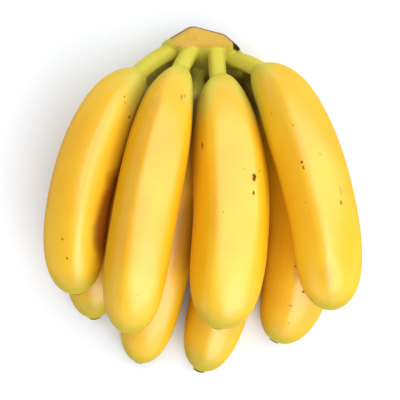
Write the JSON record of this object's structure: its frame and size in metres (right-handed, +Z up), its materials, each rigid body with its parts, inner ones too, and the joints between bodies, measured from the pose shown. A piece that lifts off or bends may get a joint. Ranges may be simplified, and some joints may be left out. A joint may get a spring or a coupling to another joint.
{
  "type": "hand of bananas",
  "caption": "Plump yellow dessert bananas in two rows, joined at one cut crown and lying with the hollow side down.",
  "frame": {"origin": "middle of the footprint, on the surface that the hand lies on", "axes": "+Z up, +Y towards the cut crown, the fingers point along -Y"},
  "size_m": [0.1388, 0.1566, 0.0722],
  "materials": {
    "peel": "satin"
  },
  "bodies": {
    "root": {"banana_hand": "peel"}
  },
  "joints": []
}
